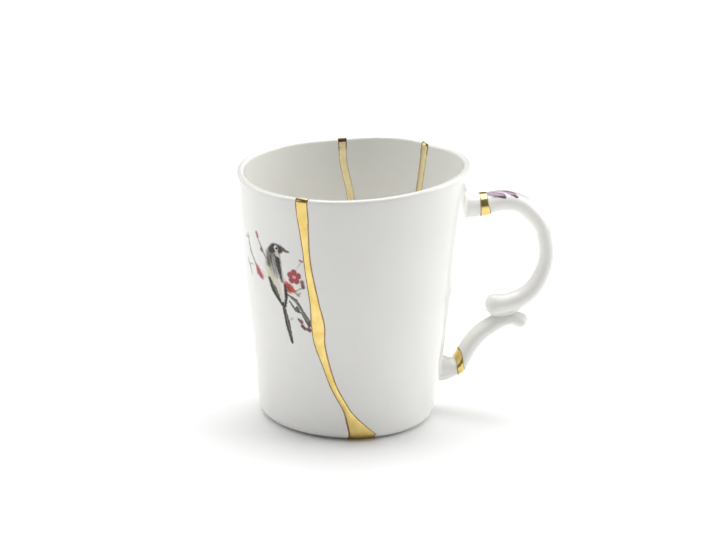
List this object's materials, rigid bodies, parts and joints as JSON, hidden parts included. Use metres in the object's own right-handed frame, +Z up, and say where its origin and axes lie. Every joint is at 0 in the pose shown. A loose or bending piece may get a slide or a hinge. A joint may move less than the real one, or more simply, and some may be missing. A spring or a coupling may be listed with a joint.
{
  "type": "porcelain mug",
  "caption": "White porcelain mug with a double-scroll handle, raised gold seams like a mended break, gold bands and a small painted songbird on a blossom branch.",
  "frame": {"origin": "on the surface that the mug stands on, in the handle's plane, half way along the mug's whole length", "axes": "+Z up along the mug's own axis, +X towards the handle, Y across"},
  "size_m": [0.1234, 0.0882, 0.101],
  "materials": {
    "porcelain": "glossy white glaze",
    "gold": "bright fired gold lustre"
  },
  "bodies": {
    "root": {"mug": "porcelain"}
  },
  "joints": []
}
